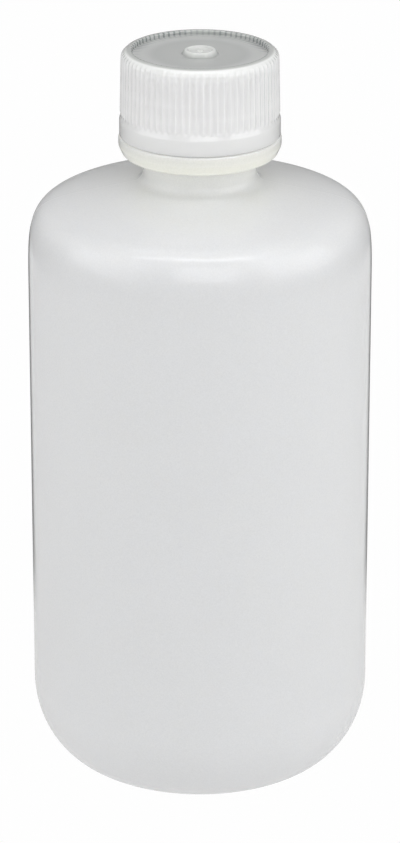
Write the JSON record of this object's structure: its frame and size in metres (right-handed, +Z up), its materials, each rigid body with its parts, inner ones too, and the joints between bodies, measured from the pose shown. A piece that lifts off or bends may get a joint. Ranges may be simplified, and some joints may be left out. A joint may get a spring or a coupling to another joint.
{
  "type": "reagent bottle",
  "caption": "Narrow-mouth plastic laboratory bottle with a domed shoulder, a collared threaded neck and a ribbed screw cap over a loose sealing disc.",
  "frame": {"origin": "centre of the foot ring, on the surface that the bottle stands on", "axes": "+Z up along the axis of the body, neck and cap; +X and +Y are level and equivalent, because the body is round"},
  "size_m": [0.091, 0.091, 0.2004],
  "materials": {
    "bottle_plastic": "satin",
    "cap_plastic": "satin",
    "disc_plastic": "satin"
  },
  "bodies": {
    "bottle": {"bottle": "bottle_plastic"},
    "sealing_disc": {"sealing_disc": "disc_plastic"},
    "cap": {"cap": "cap_plastic"}
  },
  "joints": [
    {"name": "disc_lift", "type": "slide", "parent": "bottle", "child": "sealing_disc", "axis": [0, 0, 1], "range_m": [0, 0.0255]},
    {"name": "cap_turn", "type": "hinge", "parent": "sealing_disc", "child": "cap", "pos_m": [0, 0, 0.17755], "axis": [0, 0, 1], "range_deg": [0, 2160]}
  ],
  "couplings": [
    {"joint": "disc_lift", "follows": "cap_turn", "m_per_rad": 0.00067376}
  ]
}
